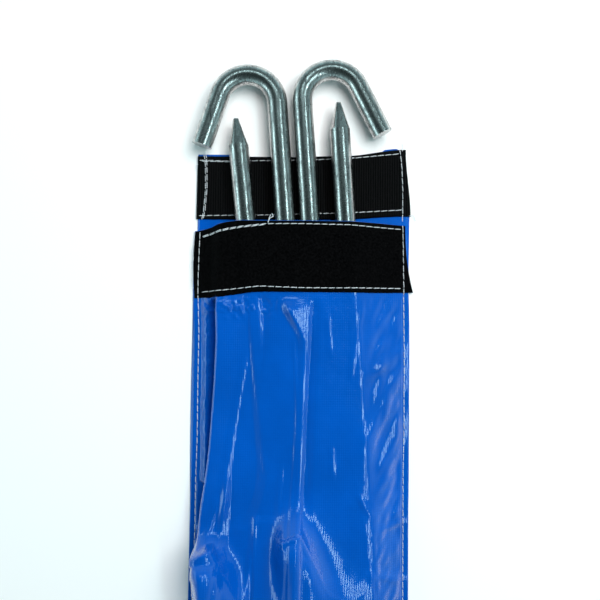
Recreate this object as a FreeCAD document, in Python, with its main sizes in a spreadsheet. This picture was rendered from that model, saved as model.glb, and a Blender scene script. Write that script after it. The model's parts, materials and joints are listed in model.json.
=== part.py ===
import FreeCAD, Part
import math
import os
import re
import Sketcher
from FreeCAD import Placement, Rotation, Vector

# Ground-stake pouch: a PVC pocket with a fold-over flap that holds four steel hook stakes.
# Millimetres. The pouch lies on its back: +X to its right, +Y towards the mouth, +Z up.
# The origin is the middle of the back panel's underside.

doc = FreeCAD.newDocument("stake_pouch")

DIMENSIONS = {
    # stakes
    "rod": 12.0,
    "overall": 300.0,
    "bend_radius": 17.5,
    "leg": 32.0,
    "lean": 23.0,
    "point": 16.5,
    "shoulder": 10.6,
    "shoulder_round": 3.4,
    "tip": 2.6,
    "tip_round": 0.5,
    "overlap": 0.5,
    # pouch
    "half_width": 65.0,
    "half_depth": 155.0,
    "sheet": 0.6,
    "allowance": 3.8,
    "flap_depth": 41.0,
    "fold_gap": 0.3,
    "mouth_height": 16.4,
    "mouth_flat": 42.0,
    "hump_start": -4.0,
    "hump_full": -24.0,
    "hump_left": 34.6,
    "hump_middle": 33.4,
    "hump_right": 17.6,
    "bottom_flange": 5.0,
    "crown_left": 40.0,
    "crown_middle": 6.0,
    "crown_right": 46.0,
    # tapes
    "tape_width": 40.0,
    "flap_tape": 1.5,
    "loop_tape": 1.2,
    "tape_edge": 0.6,
    # threads
    "thread": 0.6,
    "thread_rise": 0.4,
    "groove": 0.3,
    "row_inset": 2.6,
    "row_foot": 5.0,
    "seam_inset": 1.5,
    "seam_stop": 1.0,
    "clearance": 0.3,
}


def make_sheet():
    """The spreadsheet that holds the driving dimensions."""
    sheet = doc.addObject("Spreadsheet::Sheet", "Dims")
    for row, (name, value) in enumerate(DIMENSIONS.items(), start=1):
        sheet.set(f"A{row}", name)
        sheet.set(f"B{row}", f"{value:g}")
        sheet.setAlias(f"B{row}", name)
    doc.recompute()
    return sheet


make_sheet()


def dims(text):
    """An expression in which each dimension's name reads its spreadsheet cell."""
    return re.sub(r"[a-z_]+", lambda word: f"Dims.{word[0]}" if word[0] in DIMENSIONS else word[0], text)


def new_body(label):
    body = doc.addObject("PartDesign::Body", label)
    body.Label = label
    return body


def origin_plane(body, role):
    return next(item for item in body.Origin.OriginFeatures if item.Role == role)


def new_sketch(body, label, role, offset=None):
    """A sketch on one of the body's own planes, moved along the plane's normal by an expression."""
    sketch = body.newObject("Sketcher::SketchObject", label)
    sketch.AttachmentSupport = (origin_plane(body, role), [""])
    sketch.MapMode = "FlatFace"
    if offset:
        sketch.setExpression("AttachmentOffset.Base.z", dims(offset))
    return sketch


def pin_point(sketch, index, name, across, up):
    """Hold the start of one edge at a place given by two expressions."""
    for kind, text in (("DistanceX", across), ("DistanceY", up)):
        row = sketch.addConstraint(Sketcher.Constraint(kind, -1, 1, index, 1, 1.0 + index))
        label = f"{name}_{kind[-1].lower()}"
        sketch.renameConstraint(row, label)
        sketch.setExpression(f"Constraints.{label}", dims(text))


def polygon(body, label, role, corners, offset=None):
    """A closed outline with straight sides, each corner held by a pair of expressions."""
    sketch = new_sketch(body, label, role, offset)
    count = len(corners)
    for index in range(count):
        start = Vector(index, index * index, 0)
        end = Vector(index + 1, (index + 1) ** 2, 0)
        sketch.addGeometry(Part.LineSegment(start, end), False)
    for index in range(count):
        sketch.addConstraint(Sketcher.Constraint("Coincident", index, 2, (index + 1) % count, 1))
    for index, (across, up) in enumerate(corners):
        pin_point(sketch, index, f"corner{index}", across, up)
    return sketch


def pad(body, sketch, label, length, reverse=False):
    feature = body.newObject("PartDesign::Pad", label)
    feature.Profile = sketch
    feature.setExpression("Length", dims(length))
    feature.Reversed = reverse
    sketch.Visibility = False
    return feature


def rectangle(left, bottom, right, top):
    return [(left, bottom), (right, bottom), (right, top), (left, top)]


# ---------------------------------------------------------------- stakes

def bent_line(body):
    """The rod's centre line: straight shank, round bend, then the leg that leans outwards."""
    sketch = new_sketch(body, body.Label + "_line", "XY_Plane")
    rod, radius = DIMENSIONS["rod"], DIMENSIONS["bend_radius"]
    top = DIMENSIONS["overall"] - rod / 2 - radius
    centre = Vector(radius, top, 0)
    reach = Rotation(Vector(0, 0, 1), DIMENSIONS["lean"]).multVec(Vector(radius, 0, 0))
    outward = Rotation(Vector(0, 0, 1), DIMENSIONS["lean"] - 90).multVec(Vector(DIMENSIONS["leg"], 0, 0))
    bend_end = centre + reach
    sketch.addGeometry(Part.LineSegment(Vector(0, 1, 0), Vector(0, top, 0)), False)
    sketch.addGeometry(Part.Arc(Vector(0, top, 0), centre + Vector(0, radius, 0), bend_end), False)
    sketch.addGeometry(Part.LineSegment(bend_end, bend_end + outward), False)
    shank, bend, leg = 0, 1, 2
    sketch.addConstraint(Sketcher.Constraint("Vertical", shank))
    sketch.addConstraint(Sketcher.Constraint("PointOnObject", shank, 1, -2))
    # The arc runs clockwise along the rod, so its own start is the end at the leg.
    sketch.addConstraint(Sketcher.Constraint("Tangent", shank, 2, bend, 2))
    sketch.addConstraint(Sketcher.Constraint("Tangent", bend, 1, leg, 1))
    for label, constraint, text in (
        ("start", Sketcher.Constraint("DistanceY", -1, 1, shank, 1, 1.0), "point - overlap"),
        ("top", Sketcher.Constraint("DistanceY", -1, 1, shank, 2, top), "overall - rod / 2 - bend_radius"),
        ("radius", Sketcher.Constraint("Radius", bend, radius), "bend_radius"),
        ("leg_across", Sketcher.Constraint("DistanceX", leg, 1, leg, 2, outward.x), "leg * sin(lean)"),
        ("leg_down", Sketcher.Constraint("DistanceY", leg, 2, leg, 1, -outward.y), "leg * cos(lean)"),
    ):
        row = sketch.addConstraint(constraint)
        sketch.renameConstraint(row, label)
        sketch.setExpression(f"Constraints.{label}", dims(text))
    return sketch


def rod_section(body):
    sketch = new_sketch(body, body.Label + "_section", "XZ_Plane", "0 - point + overlap")
    sketch.addGeometry(Part.Circle(Vector(0, 0, 0), Vector(0, 0, 1), DIMENSIONS["rod"] / 2), False)
    sketch.addConstraint(Sketcher.Constraint("Coincident", 0, 3, -1, 1))
    row = sketch.addConstraint(Sketcher.Constraint("Diameter", 0, DIMENSIONS["rod"]))
    sketch.renameConstraint(row, "diameter")
    sketch.setExpression("Constraints.diameter", dims("rod"))
    return sketch


def round_square(body, label, side, corner, offset):
    """A square with rounded corners, square to the stake's shank."""
    sketch = new_sketch(body, label, "XZ_Plane", offset)
    half = DIMENSIONS[side] / 2
    turn = DIMENSIONS[corner]
    flat = half - turn
    quarter = Rotation(Vector(0, 0, 1), 90)
    spin = Rotation()
    for side_index in range(4):
        start = spin.multVec(Vector(half, -flat, 0))
        end = spin.multVec(Vector(half, flat, 0))
        diagonal = flat + turn * math.sqrt(0.5)
        middle = spin.multVec(Vector(diagonal, diagonal, 0))
        finish = spin.multVec(Vector(flat, half, 0))
        sketch.addGeometry(Part.LineSegment(start, end), False)
        sketch.addGeometry(Part.Arc(end, middle, finish), False)
        spin = quarter.multiply(spin)
    for side_index in range(4):
        line, arc, following = 2 * side_index, 2 * side_index + 1, (2 * side_index + 2) % 8
        sketch.addConstraint(Sketcher.Constraint("Tangent", line, 2, arc, 1))
        sketch.addConstraint(Sketcher.Constraint("Tangent", arc, 2, following, 1))
        sketch.addConstraint(Sketcher.Constraint("Vertical" if side_index % 2 == 0 else "Horizontal", line))
    for arc in (3, 5, 7):
        sketch.addConstraint(Sketcher.Constraint("Equal", 1, arc))
    for name, constraint, text in (
        ("right", Sketcher.Constraint("DistanceX", -1, 1, 0, 1, half), f"{side} / 2"),
        ("left", Sketcher.Constraint("DistanceX", 4, 1, -1, 1, half), f"{side} / 2"),
        ("upper", Sketcher.Constraint("DistanceY", -1, 1, 2, 1, half), f"{side} / 2"),
        ("lower", Sketcher.Constraint("DistanceY", 6, 1, -1, 1, half), f"{side} / 2"),
        ("corner", Sketcher.Constraint("Radius", 1, turn), corner),
    ):
        row = sketch.addConstraint(constraint)
        sketch.renameConstraint(row, name)
        sketch.setExpression(f"Constraints.{name}", dims(text))
    return sketch


def make_stake(label):
    """A round bar with a forged four-sided point at one end and an open hook at the other."""
    body = new_body(label)
    line = bent_line(body)
    bar = body.newObject("PartDesign::AdditivePipe", label + "_bar")
    bar.Profile = rod_section(body)
    bar.Spine = line
    doc.recompute()
    forged = body.newObject("PartDesign::AdditiveLoft", label + "_point")
    forged.Profile = round_square(body, label + "_shoulder", "shoulder", "shoulder_round", "0 - point")
    forged.Sections = [round_square(body, label + "_tip", "tip", "tip_round", "0")]
    forged.Ruled = True
    doc.recompute()
    body.Tip = forged
    return body


def place_stake(label, mouth_x, lean, top, hook_up, roll):
    """Stand one stake in the pouch. lean is its sideways drift per unit along the pouch.

    top is how far its upper end stands towards +Y, and roll turns it about its own shank.
    """
    body = make_stake(label)
    along = Vector(-lean, 1, 0).normalize()
    under = DIMENSIONS["sheet"] + DIMENSIONS["flap_tape"] + DIMENSIONS["thread_rise"]
    height = under + DIMENSIONS["clearance"] + DIMENSIONS["rod"] / 2
    upper = Vector(mouth_x - lean * (top - DIMENSIONS["half_depth"]), top, height)
    tilt = Rotation(Vector(0, 1, 0), along)
    spin = Rotation(Vector(0, 1, 0), roll)
    if hook_up:
        body.Placement = Placement(upper - along * DIMENSIONS["overall"], tilt * spin)
    else:
        flip = Rotation(Vector(0, 0, 1), 180)
        body.Placement = Placement(upper, tilt * flip * spin)
    return body


STAKES = {
    # label: (x at the mouth, lean, y of the upper end, hook up, roll about the shank)
    "stake_hook_left": (-9.5, 0.078, 248.1, True, 180.0),
    "stake_hook_right": (5.0, 0.072, 248.9, True, 0.0),
    "stake_point_left": (-32.8, 0.110, 214.6, False, -22.0),
    "stake_point_right": (26.0, 0.070, 224.6, False, -20.0),
}
for stake_label, stake_setting in STAKES.items():
    place_stake(stake_label, *stake_setting)


# ---------------------------------------------------------------- PVC panels

def flat_panel(label, bottom, top):
    body = new_body(label)
    outline = polygon(body, label + "_outline", "XY_Plane", rectangle("0 - half_width", bottom, "half_width", top))
    pad(body, outline, label + "_cloth", "sheet")
    return body


LEAST_CUT = 1.0  # cubic millimetres


def cut_grooves(body, label, boxes):
    """Shallow channels in the underside that the bobbin threads lie in."""
    for index, box in enumerate(boxes):
        outline = polygon(body, f"{label}_groove{index}", "XY_Plane", rectangle(*box))
        doc.recompute()
        before = body.Shape.Volume
        cut = body.newObject("PartDesign::Pocket", f"{label}_channel{index}")
        cut.Profile = outline
        cut.setExpression("Length", dims("groove"))
        cut.Reversed = True
        outline.Visibility = False
        doc.recompute()
        if body.Shape.Volume > before - LEAST_CUT:
            raise RuntimeError(f"{label}: groove {index} cut nothing")
        body.Tip = cut


SEAM_LEFT = "0 - half_width + seam_inset"
SEAM_RIGHT = "half_width - seam_inset - thread"
SEAM_ENDS = ("0 - half_depth + row_inset + thread", "half_depth - seam_stop")
BOTTOM_ROW = "0 - half_depth + row_inset"
FLAP_START = "half_depth + fold_gap"
FLAP_END = "half_depth + fold_gap + flap_depth"
TAPE_START = "half_depth + fold_gap + tape_edge"

BACK_RUNS = {
    "left": (SEAM_LEFT, SEAM_ENDS[0], SEAM_LEFT + " + thread", SEAM_ENDS[1]),
    "right": (SEAM_RIGHT, SEAM_ENDS[0], SEAM_RIGHT + " + thread", SEAM_ENDS[1]),
    "bottom": (SEAM_LEFT, BOTTOM_ROW, SEAM_RIGHT + " + thread", BOTTOM_ROW + " + thread"),
}
FLAP_LOW = TAPE_START + " + row_inset"
FLAP_HIGH = TAPE_START + " + tape_width - row_inset"
FLAP_LEFT = "0 - half_width + row_inset"
FLAP_RIGHT = "half_width - row_inset"
FLAP_RING_OUTER = rectangle(FLAP_LEFT, FLAP_LOW, FLAP_RIGHT, FLAP_HIGH)
FLAP_RING_INNER = rectangle(
    FLAP_LEFT + " + thread",
    FLAP_LOW + " + thread",
    FLAP_RIGHT + " - thread",
    FLAP_HIGH + " - thread",
)


def thread_frame(body, label, height, deep):
    """One closed run of stitching around the flap's tape."""
    outer = polygon(body, label + "_outer", "XY_Plane", FLAP_RING_OUTER, height)
    inner = polygon(body, label + "_inner", "XY_Plane", FLAP_RING_INNER, height)
    pad(body, outer, label + "_run", deep)
    doc.recompute()
    cut = body.newObject("PartDesign::Pocket", label + "_middle")
    cut.Profile = inner
    cut.setExpression("Length", dims(deep))
    cut.Reversed = True
    inner.Visibility = False
    doc.recompute()
    body.Tip = cut


def make_flap_groove(flap):
    """The channel for the bobbin thread around the flap's underside."""
    label = flap.Label
    outer = polygon(flap, label + "_outer", "XY_Plane", FLAP_RING_OUTER)
    doc.recompute()
    inner = polygon(flap, label + "_inner", "XY_Plane", FLAP_RING_INNER)
    cut = flap.newObject("PartDesign::Pocket", label + "_channel")
    cut.Profile = outer
    cut.setExpression("Length", dims("groove"))
    cut.Reversed = True
    doc.recompute()
    refill = pad(flap, inner, label + "_inside", "groove")
    outer.Visibility = False
    doc.recompute()
    flap.Tip = refill


back = flat_panel("back_panel", "0 - half_depth", "half_depth")
cut_grooves(back, "back_panel", BACK_RUNS.values())
flap = flat_panel("flap_panel", FLAP_START, FLAP_END)
make_flap_groove(flap)


def straight_thread(label, box, height, deep):
    body = new_body(label)
    outline = polygon(body, label + "_outline", "XY_Plane", rectangle(*box), height)
    pad(body, outline, label + "_run", deep)


def side_thread(label, left):
    """The needle thread of a side seam, which steps up where it crosses the loop tape."""
    body = new_body(label)
    step = "half_depth - tape_edge - tape_width - clearance"
    low, high = "2 * sheet", "2 * sheet + loop_tape"
    corners = [
        (SEAM_ENDS[0], low),
        (step, low),
        (step, high),
        (SEAM_ENDS[1], high),
        (SEAM_ENDS[1], high + " + thread_rise"),
        (step + " - thread_rise", high + " + thread_rise"),
        (step + " - thread_rise", low + " + thread_rise"),
        (SEAM_ENDS[0], low + " + thread_rise"),
    ]
    profile = polygon(body, label + "_profile", "YZ_Plane", corners, left)
    pad(body, profile, label + "_run", "thread")


side_thread("side_seam_left_thread", SEAM_LEFT)
side_thread("side_seam_right_thread", SEAM_RIGHT)
straight_thread("bottom_seam_thread", BACK_RUNS["bottom"], "2 * sheet", "thread_rise")
for side, name in (("left", "side_seam_left"), ("right", "side_seam_right"), ("bottom", "bottom_seam")):
    straight_thread(name + "_bobbin", BACK_RUNS[side], "0", "groove")


# ---------------------------------------------------------------- front panel, a raised tray

WALL = "half_width - allowance - sheet"


def chain(heights, grow, foot=None):
    """The raised line across the front panel, from its left edge to its right edge.

    grow lifts the line off the sheet, so that two chains enclose one thickness. With a foot, the
    line starts at that height on the side walls and leaves out the flat edges.
    """
    left_high, middle_high, right_high = heights
    low = foot or f"sheet + {grow}"
    raised = [
        (f"0 - ({WALL}) - ({grow})", low),
        (f"0 - ({WALL}) - ({grow})", f"{left_high} - sheet + {grow}"),
        ("0 - crown_left", f"{left_high} - sheet + {grow}"),
        ("crown_middle", f"{middle_high} - sheet + {grow}"),
        ("crown_right", f"{right_high} - sheet + {grow}"),
        (f"{WALL} + {grow}", f"{right_high} - sheet + {grow}"),
        (f"{WALL} + {grow}", low),
    ]
    if foot:
        return raised
    return [("0 - half_width", low)] + raised + [("half_width", low)]


MOUTH = ("mouth_height", "mouth_height", "mouth_height")
HUMP = ("hump_left", "hump_middle", "hump_right")


def band(heights, low, high, foot=None):
    """A closed outline between two chains at different lifts."""
    return chain(heights, low, foot) + chain(heights, high, foot)[::-1]


def make_front_panel():
    body = new_body("front_panel")
    stations = (
        ("mouth", MOUTH, "0 - half_depth"),
        ("rise", MOUTH, "0 - half_depth + mouth_flat"),
        ("start", MOUTH, "0 - hump_start"),
        ("full", HUMP, "0 - hump_full"),
        ("end", HUMP, "half_depth - bottom_flange"),
    )
    sections = []
    for name, heights, offset in stations:
        sections.append(polygon(body, "front_panel_" + name, "XZ_Plane", band(heights, "0", "sheet"), offset))
    doc.recompute()
    shell = body.newObject("PartDesign::AdditiveLoft", "front_panel_shell")
    shell.Profile = sections[0]
    shell.Sections = sections[1:]
    shell.Ruled = True
    doc.recompute()
    wall_outline = chain(HUMP, "sheet") + [("half_width", "sheet"), ("0 - half_width", "sheet")]
    wall = polygon(body, "front_panel_end_wall", "XZ_Plane", wall_outline, "half_depth - bottom_flange")
    pad(body, wall, "front_panel_wall", "sheet")
    doc.recompute()
    hem = polygon(
        body,
        "front_panel_hem",
        "XY_Plane",
        rectangle("0 - half_width", "0 - half_depth", "half_width", "0 - half_depth + bottom_flange"),
        "sheet",
    )
    body.Tip = pad(body, hem, "front_panel_flange", "sheet")


make_front_panel()


# ---------------------------------------------------------------- hook and loop tapes

def make_flap_tape():
    body = new_body("flap_hook_tape")
    outline = polygon(
        body,
        "flap_hook_tape_outline",
        "XY_Plane",
        rectangle("0 - half_width", TAPE_START, "half_width", TAPE_START + " + tape_width"),
        "sheet",
    )
    pad(body, outline, "flap_hook_tape_web", "flap_tape")


def band_across(label, low, high, start, wide, foot=None):
    """A strip that follows the front panel's raised line at the mouth."""
    body = new_body(label)
    outline = polygon(body, label + "_outline", "XZ_Plane", band(MOUTH, low, high, foot), start)
    pad(body, outline, label + "_strip", wide)


make_flap_tape()
flap_thread = new_body("flap_tape_thread")
thread_frame(flap_thread, "flap_tape_thread", "sheet + flap_tape", "thread_rise")
flap_bobbin = new_body("flap_tape_bobbin")
thread_frame(flap_bobbin, "flap_tape_bobbin", "0", "groove")

LOOP_TOP = "0 - half_depth + tape_edge"
band_across("front_loop_tape", "sheet", "sheet + loop_tape", LOOP_TOP, "tape_width")
TAPE_FACE = "sheet + loop_tape"
LOOP_ROWS = {
    "loop_tape_top": LOOP_TOP + " + row_inset",
    "loop_tape_bottom": LOOP_TOP + " + tape_width - row_inset - thread",
}
for name, start in LOOP_ROWS.items():
    band_across(name + "_thread", TAPE_FACE, TAPE_FACE + " + thread_rise", start, "thread", "row_foot")
    band_across(name + "_bobbin", "0 - groove", "0", start, "thread", "row_foot")


# ---------------------------------------------------------------- export

def export_parts():
    doc.recompute()
    os.makedirs("parts", exist_ok=True)
    for item in doc.Objects:
        if "Invalid" in item.State or "Error" in item.State:
            raise RuntimeError(f"{item.Label}: {item.State}")
    for body in doc.findObjects("PartDesign::Body"):
        if body.Shape.isNull() or not body.Shape.isValid():
            raise RuntimeError(f"{body.Label}: bad shape")
        body.Shape.exportStep(f"parts/{body.Label}.step")


export_parts()
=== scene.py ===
import json
import math
import random

import bpy
import numpy as np
from mathutils import Matrix, Vector, noise
from mathutils.bvhtree import BVHTree


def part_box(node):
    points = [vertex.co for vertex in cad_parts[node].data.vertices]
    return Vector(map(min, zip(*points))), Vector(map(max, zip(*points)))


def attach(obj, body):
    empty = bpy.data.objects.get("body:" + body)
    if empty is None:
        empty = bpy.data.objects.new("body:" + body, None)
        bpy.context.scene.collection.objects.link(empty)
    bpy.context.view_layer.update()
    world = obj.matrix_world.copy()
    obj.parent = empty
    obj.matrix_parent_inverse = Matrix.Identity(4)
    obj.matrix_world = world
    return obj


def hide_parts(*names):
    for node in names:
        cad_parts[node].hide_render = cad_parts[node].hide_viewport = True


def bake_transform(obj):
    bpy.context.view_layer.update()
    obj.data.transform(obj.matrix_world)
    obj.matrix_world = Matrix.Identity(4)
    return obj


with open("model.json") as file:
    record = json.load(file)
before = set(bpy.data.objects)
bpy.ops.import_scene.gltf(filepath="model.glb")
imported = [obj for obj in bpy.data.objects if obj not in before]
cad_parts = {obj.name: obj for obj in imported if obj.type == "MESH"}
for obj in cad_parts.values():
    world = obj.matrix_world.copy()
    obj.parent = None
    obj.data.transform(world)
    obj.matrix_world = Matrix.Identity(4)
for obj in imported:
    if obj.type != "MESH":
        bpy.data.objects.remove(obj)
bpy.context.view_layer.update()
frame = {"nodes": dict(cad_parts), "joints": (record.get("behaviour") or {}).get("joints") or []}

MM = 0.001
# Lengths are in millimetres, apart from NEAR_TRAVEL and the studio's, which are in metres.
STAKES = ("stake_hook_left", "stake_hook_right", "stake_point_left", "stake_point_right")
BACK_LOW, BACK_HIGH = (np.array(corner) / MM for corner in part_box("back_panel"))
HALF = BACK_HIGH[0]
FOOT = BACK_LOW[1]
MOUTH = BACK_HIGH[1]
GROUND_GAP = 0.15
BACK_SHEET = 0.45
BACK_TOP = 0.62
SHEET = 0.55
HEM = 1.15
SEWN_TOP = 1.2
SEAM = 61.2
HELD = SEAM - 0.5
MOUTH_EDGE = 153.6
TAPE_WIDE = 40.0
FLAP_TAPE = 1.0
LOOP_TAPE = 1.1
THREAD_R = 0.2
TAIL_R = 0.17
TAPE_PITCH = 4.4
HOOK_COLUMNS, HOOK_ROWS = 84, 24
PILE_FIBRES = 9000
PLY_SIDES = 6
NEAR_TRAVEL = 0.008
random.seed(7)


# ---------------------------------------------------------------- small helpers

def smooth(low, high, value):
    """0 below low, 1 above high, and an even S between them."""
    t = np.clip((value - low) / (high - low), 0.0, 1.0)
    return t * t * (3 - 2 * t)


def along(points, y):
    """x at each y on a line through a few (x, y) points, eased so that it has no corners."""
    ys = np.array([point[1] for point in points], float)
    xs = np.array([point[0] for point in points], float)
    order = np.argsort(ys)
    wide = np.interp(y, ys[order], xs[order])
    for step in (-8.0, -4.0, 4.0, 8.0):
        wide = wide + np.interp(np.asarray(y) + step, ys[order], xs[order])
    return wide / 5


def fbm(x, y, scale, octaves=3, seed=0.0):
    """Soft random relief between about -1 and 1 on arrays of millimetre places."""
    flat = np.empty(x.size)
    for index, (a, b) in enumerate(zip(x.ravel(), y.ravel())):
        place = Vector((a / scale + seed, b / scale - seed, seed))
        flat[index] = noise.fractal(place, 0.9, 2.0, octaves)
    return flat.reshape(x.shape)


def new_object(name, mesh, material, body):
    obj = bpy.data.objects.new(name, mesh)
    bpy.context.scene.collection.objects.link(obj)
    mesh.materials.append(material)
    for polygon in mesh.polygons:
        polygon.use_smooth = True
    if body:
        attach(obj, body)
    return obj


def grid_faces(rows, columns, offset=0, flip=False):
    faces = []
    for row in range(rows - 1):
        for column in range(columns - 1):
            a = offset + row * columns + column
            quad = (a, a + 1, a + columns + 1, a + columns)
            faces.append(quad[::-1] if flip else quad)
    return faces


def slab(name, top, bottom, flat_uv):
    """A closed sheet between two grids of points in millimetres, walled round its rim."""
    rows, columns = top.shape[:2]
    count = rows * columns
    verts = np.concatenate([top.reshape(-1, 3), bottom.reshape(-1, 3)]) * MM
    faces = grid_faces(rows, columns) + grid_faces(rows, columns, count, True)
    ring = [row * columns for row in range(rows - 1, 0, -1)]
    ring += [column for column in range(columns - 1)]
    ring += [row * columns + columns - 1 for row in range(rows - 1)]
    ring += [(rows - 1) * columns + column for column in range(columns - 1, 0, -1)]
    for index, here in enumerate(ring):
        following = ring[(index + 1) % len(ring)]
        faces.append((following, here, here + count, following + count))
    mesh = bpy.data.meshes.new(name)
    mesh.from_pydata(verts.tolist(), [], faces)
    uv = mesh.uv_layers.new(name="flat")
    places = np.concatenate([flat_uv.reshape(-1, 2), flat_uv.reshape(-1, 2)]) * MM
    corner = np.empty(len(mesh.loops), int)
    mesh.loops.foreach_get("vertex_index", corner)
    uv.data.foreach_set("uv", places[corner].ravel())
    mesh.update()
    return mesh


# ---------------------------------------------------------------- materials

class Nodes:
    """A short way to write one node material."""

    def __init__(self, name):
        self.material = bpy.data.materials.new(name)
        self.material.use_nodes = True
        self.tree = self.material.node_tree
        self.shader = self.tree.nodes["Principled BSDF"]

    def add(self, kind, **settings):
        node = self.tree.nodes.new(kind)
        for key, value in settings.items():
            if key in node.inputs:
                node.inputs[key].default_value = value
            else:
                setattr(node, key, value)
        return node

    def join(self, source, target):
        self.tree.links.new(source, target)

    def set(self, **values):
        for key, value in values.items():
            self.shader.inputs[key.replace("_", " ")].default_value = value

    def place(self, kind="Object", scale=(1, 1, 1)):
        """Object or flat-sheet coordinates, stretched by a scale."""
        if kind == "Object":
            source = self.add("ShaderNodeTexCoord").outputs["Object"]
        else:
            source = self.add("ShaderNodeUVMap", uv_map="flat").outputs["UV"]
        mapping = self.add("ShaderNodeMapping")
        mapping.inputs["Scale"].default_value = scale
        self.join(source, mapping.inputs["Vector"])
        return mapping.outputs["Vector"]

    def noise(self, vector, scale, detail=3.0, roughness=0.5):
        node = self.add("ShaderNodeTexNoise", Scale=scale, Detail=detail, Roughness=roughness)
        self.join(vector, node.inputs["Vector"])
        return node.outputs["Fac"]

    def wave(self, vector, scale, direction):
        node = self.add("ShaderNodeTexWave", Scale=scale, bands_direction=direction)
        node.inputs["Distortion"].default_value = 0.0
        self.join(vector, node.inputs["Vector"])
        return node.outputs["Fac"]

    def ramp(self, factor, stops):
        node = self.add("ShaderNodeValToRGB")
        elements = node.color_ramp.elements
        while len(elements) < len(stops):
            elements.new(0.5)
        for element, (position, colour) in zip(elements, stops):
            element.position = position
            element.color = colour if len(colour) == 4 else (*colour, 1.0)
        self.join(factor, node.inputs["Fac"])
        return node.outputs["Color"]

    def math(self, operation, first, second):
        node = self.add("ShaderNodeMath", operation=operation)
        for socket, value in zip(node.inputs, (first, second)):
            if isinstance(value, (int, float)):
                socket.default_value = value
            else:
                self.join(value, socket)
        return node.outputs[0]

    def bump(self, height, distance, strength=1.0, under=None):
        node = self.add("ShaderNodeBump", Distance=distance, Strength=strength)
        self.join(height, node.inputs["Height"])
        if under:
            self.join(under, node.inputs["Normal"])
        return node.outputs["Normal"]

    def output(self, socket, name):
        self.join(socket, self.shader.inputs[name])


def grey(value):
    return (value, value, value)


def steel_material():
    """Zinc plating: neutral grey with a fine dark speckle, blotches and drawn streaks."""
    n = Nodes("zinc_plated_steel")
    n.set(Metallic=1.0, IOR=2.5)
    plain = n.place()
    speckle = n.noise(plain, 1500.0, 2.0, 0.6)
    blotch = n.noise(plain, 180.0, 3.0, 0.55)
    streak = n.noise(n.place(scale=(1.0, 0.06, 1.0)), 900.0, 3.0, 0.6)
    mixed = n.math("ADD", n.math("MULTIPLY", speckle, 0.5), n.math("MULTIPLY", streak, 0.5))
    tone = n.math("ADD", n.math("MULTIPLY", mixed, 0.8), n.math("MULTIPLY", blotch, 0.2))
    stops = [(0.38, (0.13, 0.125, 0.13)), (0.47, (0.40, 0.39, 0.385)), (0.6, (0.74, 0.73, 0.71))]
    n.output(n.ramp(tone, stops), "Base Color")
    n.output(n.ramp(tone, [(0.38, grey(0.38)), (0.6, grey(0.2))]), "Roughness")
    normal = n.bump(speckle, 0.00004, 0.6)
    n.output(n.bump(streak, 0.00003, 0.5, normal), "Normal")
    return n.material


def pvc_material():
    """Glossy blue coating; the threads of the scrim inside it show as a fine square relief."""
    n = Nodes("blue_pvc")
    n.set(Roughness=0.26, Specular_IOR_Level=0.3, Coat_Weight=1.0, Coat_Roughness=0.06, Coat_IOR=1.5)
    n.shader.inputs["Specular Tint"].default_value = (0.2, 0.62, 1.0, 1.0)
    flat = n.place("flat")
    warp = n.wave(flat, 250.0, "X")
    weft = n.wave(flat, 224.0, "Y")
    weave = n.math("ADD", n.math("MULTIPLY", warp, 0.5), n.math("MULTIPLY", weft, 0.5))
    cloud = n.noise(flat, 26.0, 3.0, 0.55)
    fine = n.noise(flat, 900.0, 2.0, 0.6)
    tone = n.math("ADD", n.math("MULTIPLY", cloud, 0.88), n.math("MULTIPLY", weave, 0.12))
    stops = [(0.25, (0.0001, 0.070, 0.38)), (0.75, (0.0002, 0.092, 0.50))]
    n.output(n.ramp(tone, stops), "Base Color")
    patches = n.ramp(n.noise(flat, 45.0), [(0.3, grey(0.35)), (0.62, grey(1.0))])
    presence = n.math("MULTIPLY", weave, patches)
    lumps = n.bump(n.noise(flat, 160.0, 4.0, 0.6), 0.00016, 0.8)
    woven = n.bump(presence, 0.00005, 1.0, lumps)
    normal = n.bump(fine, 0.000008, 0.5, woven)
    n.output(normal, "Normal")
    n.output(normal, "Coat Normal")
    return n.material


def loop_tape_material():
    n = Nodes("black_loop_tape")
    n.set(Roughness=0.95, Specular_IOR_Level=0.04)
    pile = n.noise(n.place(), 900.0, 4.0, 0.65)
    stops = [(0.35, (0.0002, 0.0002, 0.0003)), (0.75, (0.0042, 0.004, 0.0044))]
    n.output(n.ramp(pile, stops), "Base Color")
    n.output(n.bump(pile, 0.0004, 0.9), "Normal")
    return n.material


def hook_tape_material():
    n = Nodes("black_hook_tape")
    n.set(Roughness=0.6, Specular_IOR_Level=0.06)
    place = n.place()
    rib = n.wave(place, 220.0, "X")
    grain = n.noise(place, 1100.0, 3.0, 0.6)
    tone = n.math("ADD", n.math("MULTIPLY", rib, 0.5), n.math("MULTIPLY", grain, 0.5))
    stops = [(0.3, (0.0004, 0.0004, 0.0005)), (0.8, (0.0058, 0.0055, 0.006))]
    n.output(n.ramp(tone, stops), "Base Color")
    n.output(n.bump(tone, 0.00025, 0.8), "Normal")
    return n.material


def thread_material():
    n = Nodes("pale_thread")
    n.set(Roughness=0.6, Sheen_Weight=0.3, Sheen_Roughness=0.5)
    fibre = n.noise(n.place(), 2600.0, 3.0, 0.6)
    stops = [(0.3, (0.46, 0.50, 0.55)), (0.7, (0.84, 0.87, 0.90))]
    n.output(n.ramp(fibre, stops), "Base Color")
    n.output(n.bump(fibre, 0.00005, 0.8), "Normal")
    return n.material


STEEL = steel_material()
PVC = pvc_material()
LOOP = loop_tape_material()
HOOK = hook_tape_material()
THREAD = thread_material()


# ---------------------------------------------------------------- the front panel's relief

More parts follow.
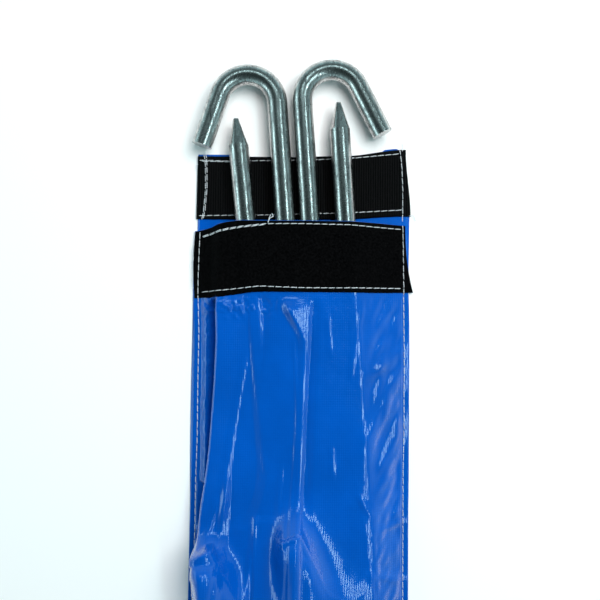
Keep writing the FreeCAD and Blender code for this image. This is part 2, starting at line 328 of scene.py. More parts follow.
def slide_travel(name):
    """Where a stake slides to, in short steps, while its lower part is inside the pouch."""
    joint = next(joint for joint in frame["joints"] if joint["child"] == name)
    low, high = joint["range_m"]
    axis = Vector(joint["axis"]).normalized()
    reaches = np.linspace(low, min(high, NEAR_TRAVEL), 2 + int(-low / NEAR_TRAVEL))
    return [axis * reach for reach in reaches]


def stake_tree():
    """One search tree over the four stakes, at rest and all along their travel under the panel."""
    verts, faces = [], []
    for name in STAKES:
        mesh = frame["nodes"][name].data
        world = frame["nodes"][name].matrix_world
        for travel in [Vector((0, 0, 0)), *slide_travel(name)]:
            start = len(verts)
            verts += [world @ vertex.co + travel for vertex in mesh.vertices]
            faces += [[start + index for index in polygon.vertices] for polygon in mesh.polygons]
    return BVHTree.FromPolygons(verts, faces)


def support_height(x, y):
    """Height of the stakes' top under each place, or of the back panel where there is none."""
    tree = stake_tree()
    height = np.full(x.shape, 1.2)
    for index in np.ndindex(x.shape):
        hit = tree.ray_cast(Vector((x[index] * MM, y[index] * MM, 0.2)), Vector((0, 0, -1)))
        if hit[0] is not None:
            height[index] = hit[0].z / MM
    return height


def drape(support, held, rounds=900):
    """A taut sheet over its supports: the smallest smooth surface that stays above them."""
    sheet = np.where(held, support, support + 4)
    for _ in range(rounds):
        middle = sheet.copy()
        middle[1:-1] = (sheet[:-2] + sheet[2:]) / 2
        middle[0], middle[-1] = sheet[1], sheet[-2]
        across = sheet.copy()
        across[:, 1:-1] = (sheet[:, :-2] + sheet[:, 2:]) / 2
        settled = 0.25 * middle + 0.75 * across
        sheet = np.where(held, support, np.maximum(settled, support))
    return sheet


# Lines down the panel as (x, y) points, from the tape to the end of what the photograph shows.
LEFT_FOLD = [(-50.5, 108), (-48.4, 92), (-49.5, 60), (-52.0, 20), (-54.8, -3), (-59.0, -28),
             (-60.5, -60)]
LEFT_RIDGE = [(-22, 107), (-31, 73), (-35.3, 47), (-39.1, 22), (-42.8, -1), (-41.5, -16), (-46, -64)]
PLEAT_LEFT = [(-5.5, 107), (-4.0, 90), (-2.3, 61), (-1.5, 39), (-2.5, 21), (-4.5, -7), (-5.3, -41),
              (-6.3, -64)]
PLEAT_RIGHT = [(6.0, 107), (4.5, 79), (3.0, 50), (2.1, 21), (1.2, -7), (0.4, -41), (0.0, -64)]
# Soft straight folds on the right: start, end, height, half width.
DIAGONALS = (
    ((62.0, 80.0), (36.0, 62.0), 1.7, 4.0),
    ((62.0, 70.0), (38.0, 22.0), 2.0, 5.0),
    ((62.0, 40.0), (44.0, -8.0), 1.4, 4.0),
    ((61.0, -22.0), (46.0, -26.0), 0.9, 2.0),
    ((61.0, -56.0), (40.0, -49.0), 1.1, 2.5),
)


def stroke(x, y, start, end, height, wide):
    """A soft straight fold between two places."""
    a, b = np.array(start), np.array(end)
    run = b - a
    t = np.clip(((x - a[0]) * run[0] + (y - a[1]) * run[1]) / (run @ run), 0, 1)
    away = np.hypot(x - a[0] - t * run[0], y - a[1] - t * run[1])
    return height * np.exp(-((away / wide) ** 2)) * np.sin(np.pi * np.clip(t * 0.8 + 0.15, 0, 1))


def blurred(grid, sigma_rows, sigma_columns):
    """The grid with its small steps smoothed away."""
    for axis, sigma in ((0, sigma_rows), (1, sigma_columns)):
        reach = int(sigma * 3) + 1
        weights = np.exp(-0.5 * (np.arange(-reach, reach + 1) / sigma) ** 2)
        weights /= weights.sum()
        padding = [(reach, reach) if side == axis else (0, 0) for side in (0, 1)]
        wide = np.pad(grid, padding, mode="edge")
        total = np.zeros_like(grid)
        for index, weight in enumerate(weights):
            part = [slice(None), slice(None)]
            part[axis] = slice(index, index + grid.shape[axis])
            total += weight * wide[tuple(part)]
        grid = total
    return grid


def widened(grid, reach):
    """The highest value within a few cells of each place."""
    wide = grid.copy()
    for axis in (0, 1):
        best = wide.copy()
        for shift in range(-reach, reach + 1):
            best = np.maximum(best, np.roll(wide, shift, axis=axis))
        wide = best
    return wide


def pleat_relief(x, y):
    """A thin crest, and beside it a fold whose right face fans out wide below the tape."""
    left, right = along(PLEAT_LEFT, y), along(PLEAT_RIGHT, y)
    wide = 1.7 + 12.0 * smooth(76, 108, y) ** 1.4 + 1.2 * smooth(20, 60, -y)
    crest = right - wide
    high = 0.28 * wide + 0.5
    rise = high * smooth(crest - 5.0, crest, x)
    face = high - 0.28 * (x - crest)
    beyond = x - right
    valley = 0.5 - 1.6 * smooth(0.0, 1.3, beyond) + 1.1 * smooth(1.3, 7.5, beyond)
    fold = np.where(x < crest, rise, np.where(x < right, face, valley))
    line = 0.45 * np.exp(-(((x - left) / 0.9) ** 2))
    fade = smooth(-150, -120, y) * (1 - smooth(100, 110, y))
    return fade * (fold + line * (1 - smooth(70, 90, y)))


def lifted(z, floor, rows, columns):
    """Raises the surface softly until it clears what lies below it."""
    for _ in range(5):
        z = z + 1.4 * blurred(np.maximum(floor - z, 0.0), rows, columns)
    return np.maximum(z, floor)


# Folds whose right face catches the light: points from top to bottom, face width, fall per mm.
BRIGHT_FACES = (
    ([(-40.0, 6), (-42.5, -8), (-46.0, -18)], 2.4, 0.36),
    ([(-46.0, -6), (-50.0, -22), (-56.0, -38)], 2.0, 0.37),
    ([(-40.0, 0), (-44.0, -20), (-48.0, -45), (-51.0, -68)], 2.2, 0.36),
    ([(-24.5, -18), (-27.0, -40), (-31.0, -70)], 2.4, 0.33),
    ([(-9.5, 14), (-10.5, 0), (-11.5, -14)], 1.4, 0.30),
    ([(37.0, 106), (33.0, 86), (29.5, 64)], 1.6, 0.24),
    ([(16.0, 101), (17.0, 90), (18.0, 78)], 1.2, 0.26),
    ([(33.0, -4), (37.0, -10), (43.0, -15)], 3.0, 0.26),
    ([(19.0, 24), (19.5, 16), (20.0, 6)], 1.4, 0.26),
)


def face_relief(x, y):
    """The sum of the folds listed above."""
    total = np.zeros_like(x)
    for points, wide, fall in BRIGHT_FACES:
        beyond = x - along(points, y)
        low, high = points[-1][1], points[0][1]
        ends = smooth(low - 5, low + 5, y) * (1 - smooth(high - 6, high + 3, y))
        profile = np.where(beyond < 0, smooth(-4.0, 0.0, beyond), np.clip(1 - beyond / wide, 0, 1))
        total += fall * wide * profile * ends
    return total


def settled_panel(y, tops, held, floor):
    """The taut sheet over the stakes: crisp by the mouth, softened over the hidden hooks."""
    z = drape(np.where(held, HEM, tops + 0.9), held)
    near = lifted(blurred(z, 4.0, 2.4), floor, 5.0, 2.4)
    far = blurred(z, 22.0, 5.0)
    low, span = 16, 15
    far = np.where(far > low, low + span * (np.clip(far - low, 0, None) / span) ** 2.2, far)
    far = lifted(far, floor, 9.0, 4.0)
    deep = 1 - smooth(0, 40, y)
    return np.where(held, HEM, near * (1 - deep) + far * deep)


def with_left_fold(z, x, y, edge, free):
    """The loose width stands as a fold, with a low crinkled channel between it and the seam."""
    crest = along(LEFT_RIDGE, y)
    span = free * smooth(-46, -16, y)
    rise = smooth(edge - 1.2, edge + 1.4, x)
    channel = 1.4 + 3.0 * smooth(-SEAM + 1, -55, x) - 2.4 * smooth(-55, edge - 0.5, x)
    climb = np.clip((x - edge) / (crest - edge), 0, 1)
    plateau = 16.6 - 2.4 * climb - 3.0 * (1 - smooth(edge - 1, edge + 1.8, x))
    folded = channel * (1 - rise) + plateau * rise
    beside = 1 - smooth(crest + 1.0, crest + 12.0, x)
    return z * (1 - span * beside) + folded * span * beside


def left_crest(x, y):
    """The lit face that falls away to the right of the left fold's crest."""
    beyond = x - along(LEFT_RIDGE, y)
    band = 1.4 + 1.6 * smooth(-50, 10, -y)
    step = np.where(beyond < 0, smooth(-5.0, 0.0, beyond), np.clip(1 - beyond / band, 0, 1))
    return 0.36 * band * step * smooth(-150, -120, y) * (1 - smooth(62, 92, y))


def with_cross_crease(z, x, y):
    """A short crease across the panel, and the raised band that runs down from it."""
    crease = np.exp(-(((y + 17.5) / 0.9) ** 2)) * smooth(-28, -25, x) * (1 - smooth(-8.5, -6.5, x))
    band = smooth(-27.0, -25.0, x) * (1 - smooth(-9.0, -6.5, x)) * smooth(17.5, 19.5, -y)
    return z + 0.55 * crease + 0.9 * band * smooth(-150, -130, y)


def with_crinkles(z, x, y, edge, free):
    """Puckers along the right seam, crinkles in the left channel and below the tape, soft waves."""
    inside = 1 - smooth(SEAM - 4, HELD, np.abs(x))
    pucker = np.sin(y / 2.1 + 2.2 * np.sin(y / 11.0)) * smooth(38, 56, x) * inside
    z = z + 0.10 * pucker * free * (1 - smooth(96, 106, y))
    crisp = np.abs(fbm(x, y, 7.0, 4, 3.1))
    left_channel = (1 - smooth(edge - 2, edge + 1, x)) * inside * free
    under_tape = smooth(94, 104, y) * (1 - smooth(108, 112, y)) * inside
    left_end = 2.0 * under_tape * (1 - smooth(-26, -6, x))
    z = z + crisp * (0.8 * left_channel + left_end + 0.15 * under_tape)
    right_side = smooth(36, 48, x) * inside * free
    z = z + fbm(0.92 * x - 0.38 * y, 0.15 * x + 0.37 * y, 8.0, 2, 6.6) * 1.3 * right_side
    z = z + fbm(x, y, 38.0, 2, 8.8) * 0.35 * inside * free
    return z + fbm(x, y, 9.0, 2, 5.5) * 0.11 * inside * free


def front_relief(x, y):
    """Height of the front panel's upper face over the ground at each place."""
    held = (np.abs(x) > HELD) | (y < FOOT + 4)
    tops = widened(support_height(x, y), 2)
    floor = np.where(held, HEM, tops + 0.75)
    z = settled_panel(y, tops, held, floor)
    shelf = 13.8 * smooth(-59, -46, x) * (1 - smooth(-10, 20, x)) * smooth(-110, -60, y)
    z = np.maximum(z, shelf)
    free = 1 - smooth(106, 112, y)
    edge = along(LEFT_FOLD, y)
    z = with_left_fold(z, x, y, edge, free)
    z = z + face_relief(x, y) + left_crest(x, y)
    z = z + pleat_relief(x, y)
    for start, end, height, wide in DIAGONALS:
        z = z + stroke(x, y, start, end, height, wide) * free
    z = with_cross_crease(z, x, y)
    return np.maximum(with_crinkles(z, x, y, edge, free), floor)


COLUMNS, ROWS = 201, 361
across = np.linspace(-1, 1, COLUMNS)
upward = np.linspace(0, 1, ROWS)
U, V = np.meshgrid(across, upward)


def mouth_line(x):
    """Where the front panel's mouth edge lies: it hangs back at its left end."""
    return MOUTH_EDGE - 5.0 * smooth(36, 66, -x) - 0.6 * smooth(40, 66, x)


PANEL_LEFT = [(-63.6, 150), (-63.9, 131), (-64.2, 108), (-63.4, 94), (-63.5, 48), (-64.4, -11),
              (-65.0, -60)]
PANEL_RIGHT = [(62.0, 153), (62.8, 132), (64.6, 112), (65.2, 84), (65.3, 40), (64.8, -22),
               (64.9, -68)]

rough_y = FOOT + (MOUTH_EDGE - FOOT) * V
left_edge = np.maximum(along(PANEL_LEFT, rough_y), -HALF)
right_edge = np.minimum(along(PANEL_RIGHT, rough_y), HALF)
PANEL_X = left_edge + (right_edge - left_edge) * (U + 1) / 2
PANEL_Y = FOOT + (mouth_line(PANEL_X) - FOOT) * V
PANEL_Z = front_relief(PANEL_X, PANEL_Y)


def panel_height(x, y):
    """Height of the front panel at one place, read between its grid's points."""
    row = np.clip((y - FOOT) / (mouth_line(np.array(x)) - FOOT), 0, 1) * (ROWS - 1)
    low = int(min(row, ROWS - 2))
    part = float(row) - low
    below, above = (np.interp(x, PANEL_X[r], PANEL_Z[r]) for r in (low, low + 1))
    return below * (1 - part) + above * part


def grid_normals(points):
    """The unit normal at each point of a grid."""
    down = np.gradient(points, axis=0)
    side = np.gradient(points, axis=1)
    normal = np.cross(side, down)
    return normal / np.linalg.norm(normal, axis=2, keepdims=True)


def make_front_panel():
    top = np.stack([PANEL_X, PANEL_Y, PANEL_Z], axis=2)
    edge = along(LEFT_FOLD, PANEL_Y)
    near = np.exp(-(((PANEL_X - edge) / 2.2) ** 2)) * smooth(3, 12, PANEL_Z)
    near = near * smooth(-30, -10, PANEL_Y) * (1 - smooth(95, 108, PANEL_Y))
    top[:, :, 0] -= 1.4 * near
    normal = grid_normals(top)
    bottom = top - normal * SHEET
    bottom[:, :, 2] = np.maximum(bottom[:, :, 2], BACK_TOP)
    flat = np.stack([PANEL_X, PANEL_Y], axis=2)
    mesh = slab("front_sheet", top, bottom, flat)
    sheet = new_object("front_sheet", mesh, PVC, "pouch")
    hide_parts("front_panel")
    return sheet


# ---------------------------------------------------------------- the back sheet and its flap

def flap_top_line(x):
    """The flap's tape runs up a little towards its right end."""
    return 193.8 + 1.0 * smooth(-10, 30, x) + 4.0 * smooth(26, 62, x)


def flap_low_line(x):
    return 155.9 + 0.4 * smooth(-40, 20, x) + 2.2 * smooth(20, 62, x)


def make_back_sheet():
    rows, columns = 230, 71
    u, v = np.meshgrid(np.linspace(-1, 1, columns), np.linspace(0, 1, rows))
    place = u * HALF
    limit = flap_top_line(place) + 0.5 + 0.7 * (1 - smooth(-46, -40, place))
    limit = limit + 1.1 * smooth(50, 51.5, place) * (1 - smooth(59.5, 60.5, place))
    limit = limit - 0.9 * smooth(-44, -40, place)
    y = FOOT + (limit - FOOT) * v
    half = HALF - 0.35 + 0.25 * np.sin(y / 23.0)
    half = half - 2.6 * smooth(118, 154, y) * (u < 0) - 2.6 * smooth(160, 185, y) * (u > 0)
    x = u * half
    low = np.full(x.shape, GROUND_GAP)
    bottom = np.stack([x, y, low], axis=2)
    top = np.stack([x, y, low + BACK_SHEET], axis=2)
    top[:, :, 2] += 0.05 * fbm(x, y, 16.0, 2, 1.7)
    mesh = slab("back_sheet", top, bottom, np.stack([x, y], axis=2))
    sheet = new_object("back_sheet", mesh, PVC, None)
    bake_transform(sheet)
    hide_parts("back_panel", "flap_panel")
    return sheet


# ---------------------------------------------------------------- tapes

def tape_slab(name, rows, columns, place, thick, material, body):
    """A woven tape: place(u, v) gives its upper face, and its long edges are selvedges."""
    u, v = np.meshgrid(np.linspace(0, 1, columns), np.linspace(0, 1, rows))
    top = place(u, v)
    normal = grid_normals(top)
    rim = np.minimum(np.minimum(v, 1 - v) * TAPE_WIDE, np.minimum(u, 1 - u) * 2 * HALF)
    top = top - normal * (0.35 * (1 - smooth(0.0, 0.9, rim)))[..., None]
    bottom = top - normal * (thick - 0.35 * (1 - smooth(0.0, 0.9, rim)))[..., None] * 0.98
    flat = np.stack([u * 2 * HALF, v * TAPE_WIDE], axis=2)
    return new_object(name, slab(name, top, bottom, flat), material, body)


def flap_tape_place(u, v):
    left = -63.0 + 0.5 * v
    right = 65.4 - 3.0 * smooth(0.0, 1.0, v)
    x = left + (right - left) * u
    y = flap_low_line(x) + (flap_top_line(x) - flap_low_line(x)) * v
    z = BACK_TOP + FLAP_TAPE + 0 * x + 0.05 * np.sin(x / 5.0)
    return np.stack([x, y, z], axis=2)


def loop_low_line(x):
    return 112.2 - 3.6 * smooth(20, 60, -x) + 0.6 * smooth(40, 66, x)


def loop_tape_place(u, v):
    left = -63.4 - 0.9 * np.sin(np.pi * v)
    right = 62.2 + 4.8 * (1 - v) ** 2.2
    x = left + (right - left) * u
    high = mouth_line(x) - 0.3
    y = loop_low_line(x) + (high - loop_low_line(x)) * v
    z = np.vectorize(panel_height)(x, y)
    z = np.maximum(z, SEWN_TOP) + LOOP_TAPE
    return np.stack([x, y, z], axis=2)


def hooks_on_tape():
    """The stiff little hooks of the hook tape, in columns across it."""
    verts, faces = [], []
    shape = ((0.0, 0.0), (0.02, 0.45), (0.12, 0.72), (0.32, 0.78), (0.46, 0.6))
    half_wide, thick, sunk = 0.09, 0.12, 0.05
    for column in range(HOOK_COLUMNS):
        for row in range(HOOK_ROWS):
            u = (column + 0.5) / HOOK_COLUMNS
            v = 0.055 + 0.89 * (row + 0.5 + random.uniform(-0.15, 0.15)) / HOOK_ROWS
            x, y, z = flap_tape_place(np.array([[u]]), np.array([[v]]))[0, 0]
            turn = random.uniform(-0.5, 0.5) + (math.pi if column % 2 else 0)
            way = Vector((math.cos(turn), math.sin(turn), 0))
            side = Vector((-way.y, way.x, 0)) * half_wide
            start = len(verts)
            for reach, lift in shape:
                spot = Vector((x, y, z - sunk + lift * 0.8)) + way * reach
                verts += [(spot - side) * MM, (spot + side) * MM, (spot + way * thick + side) * MM,
                          (spot + way * thick - side) * MM]
            for ring in range(len(shape) - 1):
                for edge in range(4):
                    a, b = start + ring * 4 + edge, start + ring * 4 + (edge + 1) % 4
                    faces.append((a, b, b + 4, a + 4))
            faces.append(tuple(start + (len(shape) - 1) * 4 + edge for edge in range(4)))
    mesh = bpy.data.meshes.new("flap_tape_hooks")
    mesh.from_pydata(verts, [], faces)
    return new_object("flap_tape_hooks", mesh, HOOK, "flap")


def pile_on_tape():
    """The soft loops of the loop tape, as short curved fibres."""
    verts, faces = [], []
    for _ in range(PILE_FIBRES):
        u, v = random.uniform(0.012, 0.988), random.uniform(0.03, 0.97)
        x, y, z = loop_tape_place(np.array([[u]]), np.array([[v]]))[0, 0]
        turn = random.uniform(0, math.tau)
        way = Vector((math.cos(turn), math.sin(turn), 0))
        side = Vector((-way.y, way.x, 0)) * 0.045
        length = random.uniform(0.5, 1.1)
        lift = random.uniform(0.15, 0.42)
        start = len(verts)
        for step in range(4):
            t = step / 3
            spot = Vector((x, y, z - 0.05)) + way * (length * (t - 0.5))
            spot.z += lift * math.sin(math.pi * t)
            verts += [(spot - side) * MM, (spot + side) * MM]
        for step in range(3):
            a = start + step * 2
            faces.append((a, a + 1, a + 3, a + 2))
    mesh = bpy.data.meshes.new("loop_tape_pile")
    mesh.from_pydata(verts, [], faces)
    return new_object("loop_tape_pile", mesh, LOOP, "pouch")


def make_tapes():
    hook = tape_slab("hook_tape", 44, 140, flap_tape_place, FLAP_TAPE, HOOK, "flap")
    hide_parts("flap_hook_tape")
    loop = tape_slab("loop_tape", 44, 180, loop_tape_place, LOOP_TAPE, LOOP, "pouch")
    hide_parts("front_loop_tape")
    hooks_on_tape()
    pile_on_tape()


# ---------------------------------------------------------------- stitching

def spaced(points, pitch):
    """Places at an even pitch along a line through (x, y) points."""
    points = np.array(points, float)
    runs = np.hypot(*(points[1:] - points[:-1]).T)
    length = np.concatenate([[0], np.cumsum(runs)])
    count = max(2, int(round(length[-1] / pitch)) + 1)
    where = np.linspace(0, length[-1], count)
    return np.stack([np.interp(where, length, points[:, side]) for side in (0, 1)], axis=1)


def twisted(verts, faces, path, radius, turns, phase):
    """Two plies twisted round a path of points in millimetres."""
    sides = PLY_SIDES
    for ply in range(2):
        start = len(verts)
        for index, point in enumerate(path):
            ahead = path[min(index + 1, len(path) - 1)] - path[max(index - 1, 0)]
            ahead = ahead.normalized()
            side = ahead.cross(Vector((0, 0, 1))).normalized()
            rise = side.cross(ahead)
            t = index / (len(path) - 1)
            angle = phase + math.pi * ply + math.tau * turns * t
            centre = point + (side * math.cos(angle) + rise * math.sin(angle)) * radius * 0.62
            for corner in range(sides):
                a = math.tau * corner / sides
                verts.append((centre + (side * math.cos(a) + rise * math.sin(a)) * radius * 0.72) * MM)
        for index in range(len(path) - 1):
            for corner in range(sides):
                a = start + index * sides + corner
                b = start + index * sides + (corner + 1) % sides
                faces.append((a, b, b + sides, a + sides))
        faces.append(tuple(start + corner for corner in range(sides))[::-1])
        faces.append(tuple(start + (len(path) - 1) * sides + corner for corner in range(sides)))


def stitch_run(name, lines, height, body, node, pitch=4.65, lift=0.16, under=False, gap=0.34):
    """Lock stitches along one or more lines, each a twisted thread that dips into its holes."""
    verts, faces = [], []
    for line in lines:
        holes = spaced(line, pitch)
        for index in range(len(holes) - 1):
            a, b = holes[index], holes[index + 1]
            run = (b - a) / np.linalg.norm(b - a)
            side = np.array([-run[1], run[0]]) * random.uniform(0.04, 0.14)
            start, end = a + run * gap - side, b - run * gap + side
            path = []
            for step in range(9):
                t = step / 8
                spot = start + (end - start) * t
                bow = math.sin(math.pi * t) ** 0.5
                dip = -0.3 * (1 - bow)
                z = height(spot[0], spot[1])
                z = z - (lift + dip) if under else z + lift + dip
                path.append(Vector((spot[0], spot[1], z)))
            twisted(verts, faces, path, THREAD_R, 1.6, random.uniform(0, 6.28))
    mesh = bpy.data.meshes.new(name)
    mesh.from_pydata(verts, [], faces)
    run_object = new_object(name, mesh, THREAD, body)
    if node:
        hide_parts(node)
    return run_object


def tape_top_height(x, y):
    """The upper face of whatever a stitch on the pouch's front lies on."""
    base = float(panel_height(x, y))
    taped = loop_low_line(np.array(x)) < y < mouth_line(np.array(x)) - 0.3
    return max(base, SEWN_TOP) + (LOOP_TAPE if taped else 0.0)


def flap_height(x, y):
    """The upper face of the flap, or of its tape."""
    taped = float(flap_low_line(np.array(x))) < y < float(flap_top_line(np.array(x)))
    return BACK_TOP + (FLAP_TAPE if taped else 0.0)


def hem_height(x, y):
    return SEWN_TOP


def underside(x, y):
    return GROUND_GAP


def inside_height(x, y):
    """The front panel's lower face."""
    return float(panel_height(x, y)) - SHEET


# Lines of stitches as (x, y) points.
SEAM_L = [(-60.3, 148), (-60.9, 131), (-61.3, 119), (-61.2, 108), (-60.4, 90), (-60.7, 60), (-60.6, 24),
          (-61.2, 7), (-61.5, -30), (-62.2, -60), (-62.6, -100), (-62.0, -151)]
SEAM_R = [(60.6, 153), (61.4, 114), (61.9, 79), (62.0, 31), (61.6, 8), (61.7, -68), (61.8, -151)]
ROW_TOP = [(-58.9, 145.2), (-40.6, 149.2), (-21.3, 151.4), (-0.8, 151.6), (28.6, 151.2), (59.6, 150.4)]
ROW_LOW = [(-58.9, 112.1), (-44.3, 113.0), (-23.8, 115.4), (-0.4, 114.6), (17.1, 114.6), (59.6, 115.2)]
FLAP_ROW_TOP = [(-61.6, 191.3), (-43.7, 191.0), (-1.1, 191.8), (30.1, 193.3), (58.4, 196.2)]
FLAP_ROW_LOW = [(-61.6, 158.0), (-24.7, 158.6), (32.1, 160.6), (60.4, 162.4)]
FLAP_RUN_L = [(-59.2, 196.0), (-57.9, 190.8), (-57.6, 173.3), (-58.9, 157.7), (-59.8, 155.4)]
FLAP_RUN_R = [(58.6, 199.6), (60.0, 189.4), (60.6, 173.0), (60.6, 155.4)]


def shifted(points, dx, dy):
    return [(x + dx, y + dy) for x, y in points]


# Loose thread ends, each a few places in millimetres: (body, points).
TAILS = (
    ("flap", ((60.2, 197.8, 1.9), (60.5, 199.8, 2.2), (60.0, 202.6, 1.5))),
    ("flap", ((64.6, 158.8, 1.9), (66.6, 159.4, 1.8), (67.9, 157.6, 1.2), (68.4, 155.9, 0.9))),
    ("flap", ((-62.2, 189.0, 1.4), (-63.4, 187.6, 1.3), (-62.8, 185.4, 1.4))),
    ("pouch", ((-19.2, 151.9, 19.3), (-17.9, 154.3, 19.6), (-16.3, 155.4, 19.0), (-17.0, 157.2, 18.4))),
    ("pouch", ((-19.0, 151.7, 19.3), (-18.6, 154.0, 19.8), (-17.6, 156.4, 19.2))),
    ("pouch", ((-63.8, 140.5, 3.2), (-64.9, 136.8, 2.9), (-64.2, 132.4, 2.6), (-65.0, 128.6, 2.5),
               (-64.4, 123.8, 2.6), (-64.9, 119.0, 2.4), (-64.1, 114.2, 2.6))),
)


def curve_through(points, pieces=8):
    """A smooth path of vectors through a few places."""
    path = []
    padded = [points[0], *points, points[-1]]
    for index in range(1, len(padded) - 2):
        a, b, c, d = (Vector(padded[index + step]) for step in (-1, 0, 1, 2))
        for step in range(pieces):
            t = step / pieces
            path.append(0.5 * (2 * b + (c - a) * t + (2 * a - 5 * b + 4 * c - d) * t * t
                               + (3 * b - a - 3 * c + d) * t ** 3))
    path.append(Vector(points[-1]))
    return path


def make_tails():
    """The loose thread ends, each a piece of its own."""
    for index, (body, points) in enumerate(TAILS):
        verts, faces = [], []
        twisted(verts, faces, curve_through(points), TAIL_R, 2.5, 0.7 * index)
        mesh = bpy.data.meshes.new("thread_tail_%d" % (index + 1))
        mesh.from_pydata(verts, [], faces)
        new_object(mesh.name, mesh, THREAD, body)


def make_stitching():
    """Each line of stitches, seen from its needle side and then from its bobbin side."""
    stitch_run("side_seam_left_stitches", [SEAM_L], tape_top_height, "pouch", "side_seam_left_thread")
    stitch_run("side_seam_right_stitches", [SEAM_R], tape_top_height, "pouch",
               "side_seam_right_thread")
    bottom = [(-62, FOOT + 3), (62, FOOT + 3)]
    stitch_run("bottom_seam_stitches", [bottom], hem_height, "pouch", "bottom_seam_thread")
    doubled = shifted(ROW_TOP[:3], 0.4, -0.5)
    stitch_run("loop_tape_top_stitches", [ROW_TOP, doubled], tape_top_height, "pouch",
               "loop_tape_top_thread", pitch=TAPE_PITCH)
    stitch_run("loop_tape_bottom_stitches", [ROW_LOW], tape_top_height, "pouch",
               "loop_tape_bottom_thread", pitch=TAPE_PITCH)
    flap_lines = [FLAP_ROW_TOP, shifted(FLAP_ROW_TOP[:2], 1.5, -0.5), FLAP_ROW_LOW, FLAP_RUN_L,
                  shifted(FLAP_RUN_L, 0.9, 0.8), FLAP_RUN_R]
    stitch_run("flap_stitches", flap_lines, flap_height, "flap", "flap_tape_thread",
               pitch=TAPE_PITCH)
    flat = dict(under=True, lift=-0.22)
    stitch_run("side_seam_left_underside", [SEAM_L], underside, "pouch", "side_seam_left_bobbin",
               **flat)
    stitch_run("side_seam_right_underside", [SEAM_R], underside, "pouch", "side_seam_right_bobbin",
               **flat)
    stitch_run("bottom_seam_underside", [bottom], underside, "pouch", "bottom_seam_bobbin", **flat)
    single_lines = flap_lines[:1] + flap_lines[2:4] + flap_lines[5:]
    stitch_run("flap_underside_stitches", single_lines, underside, "flap", "flap_tape_bobbin",
               **flat)
    raised_top = [point for point in ROW_TOP if abs(point[0]) < 50]
    raised_low = [point for point in ROW_LOW if abs(point[0]) < 50]
    hidden = dict(under=True, lift=-0.1)
    stitch_run("loop_tape_top_inside", [raised_top], inside_height, "pouch", "loop_tape_top_bobbin",
               **hidden)
    stitch_run("loop_tape_bottom_inside", [raised_low], inside_height, "pouch",
               "loop_tape_bottom_bobbin", **hidden)


# ---------------------------------------------------------------- stakes keep their CAD shape

for stake in STAKES:
    node = frame["nodes"][stake]
    node.data.materials.clear()
    node.data.materials.append(STEEL)

make_back_sheet()
make_front_panel()
make_tapes()
make_stitching()
make_tails()


# ---------------------------------------------------------------- studio

TEAL = (0.66, 0.97, 1.0)
FLOOR_REACH, FLOOR_DROP = 3.0, 0.0002
# How bright the surroundings are, from straight down to straight up: (place, level).
WORLD_STOPS = ((0.0, 0.85), (0.3, 0.55), (0.62, 0.13), (0.95, 0.014))


def area_light(name, place, aim, size, power, tall=None, shiny=True, colour=(1, 1, 1)):
    data = bpy.data.lights.new(name, "AREA")
    data.shape = "RECTANGLE"
    data.size = size
    data.size_y = tall or size
    data.energy = power
    data.color = colour
    light = bpy.data.objects.new(name, data)
    light.visible_glossy = shiny
    light.location = place
    light.rotation_euler = (Vector(aim) - Vector(place)).to_track_quat("-Z", "Y").to_euler()
    bpy.context.scene.collection.objects.link(light)


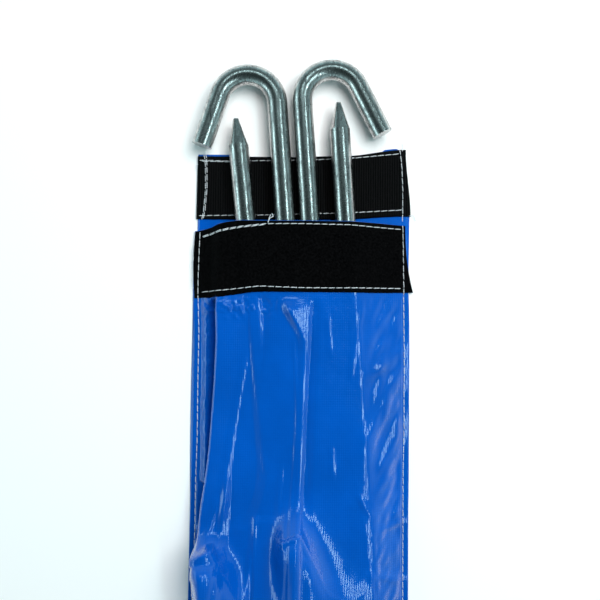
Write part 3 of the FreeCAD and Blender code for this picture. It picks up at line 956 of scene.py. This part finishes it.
def make_studio():
    """A pale floor, four lights, and surroundings that are pale only where the camera sees them."""
    floor_mesh = bpy.data.meshes.new("floor")
    corners = [(x * FLOOR_REACH, y * FLOOR_REACH, -FLOOR_DROP)
               for x, y in ((-1, -1), (1, -1), (1, 1), (-1, 1))]
    floor_mesh.from_pydata(corners, [], [(0, 1, 2, 3)])
    floor = bpy.data.objects.new("floor", floor_mesh)
    bpy.context.scene.collection.objects.link(floor)
    pale = Nodes("pale_floor")
    pale.set(Roughness=0.9)
    pale.shader.inputs["Base Color"].default_value = (0.93, 0.93, 0.93, 1)
    floor_mesh.materials.append(pale.material)
    area_light("fill", (0.34, 0.46, 0.9), (0, 0.1, 0), 0.8, 12.0, shiny=False,
               colour=(1, 0.97, 0.96))
    area_light("left_strip", (-0.8, 0.12, 0.36), (0, 0.08, 0), 0.9, 1.8, 0.25, colour=TEAL)
    area_light("right_strip", (0.38, 0.08, 0.64), (0, 0.08, 0), 0.8, 1.5, 0.08, colour=TEAL)
    area_light("top_strip", (0.0, 0.62, 0.85), (0, 0.1, 0), 0.5, 0.6, 0.14, colour=TEAL)
    world = bpy.data.worlds.new("studio")
    world.use_nodes = True
    tree = world.node_tree
    direction = tree.nodes.new("ShaderNodeTexCoord")
    split = tree.nodes.new("ShaderNodeSeparateXYZ")
    ramp = tree.nodes.new("ShaderNodeValToRGB")
    while len(ramp.color_ramp.elements) < len(WORLD_STOPS):
        ramp.color_ramp.elements.new(0.5)
    for element, (place, level) in zip(ramp.color_ramp.elements, WORLD_STOPS):
        element.position = place
        element.color = (level * 0.6, level * 0.95, level, 1)
    tree.links.new(direction.outputs["Generated"], split.inputs["Vector"])
    tree.links.new(split.outputs["Z"], ramp.inputs["Fac"])
    seen = tree.nodes.new("ShaderNodeLightPath")
    mix = tree.nodes.new("ShaderNodeMixRGB")
    mix.inputs["Color2"].default_value = (0.86, 0.87, 0.88, 1)
    tree.links.new(seen.outputs["Is Camera Ray"], mix.inputs["Fac"])
    tree.links.new(ramp.outputs["Color"], mix.inputs["Color1"])
    tree.links.new(mix.outputs["Color"], tree.nodes["Background"].inputs["Color"])
    bpy.context.scene.world = world
    bpy.context.scene.view_settings.view_transform = "Standard"


def make_camera():
    """The photograph's view: almost straight down, turned and tipped a little."""
    distance, tilt, roll = 0.43, math.radians(1.7), math.radians(0.5)
    forward = Vector((0, math.sin(tilt), -math.cos(tilt)))
    right = Vector((1, 0, 0))
    up = right.cross(forward)
    across_view = right * math.cos(roll) + up * math.sin(roll)
    up_view = up * math.cos(roll) - right * math.sin(roll)
    aim = Vector((-0.0004, MOUTH * MM - 0.047, 0))
    camera_data = bpy.data.cameras.new("camera")
    camera_data.sensor_width = 36.0
    camera_data.lens = 43.08
    camera = bpy.data.objects.new("camera", camera_data)
    turn = Matrix((across_view, up_view, -forward)).transposed().to_4x4()
    camera.matrix_world = Matrix.Translation(aim - forward * distance) @ turn
    bpy.context.scene.collection.objects.link(camera)
    bpy.context.scene.camera = camera


make_studio()
make_camera()
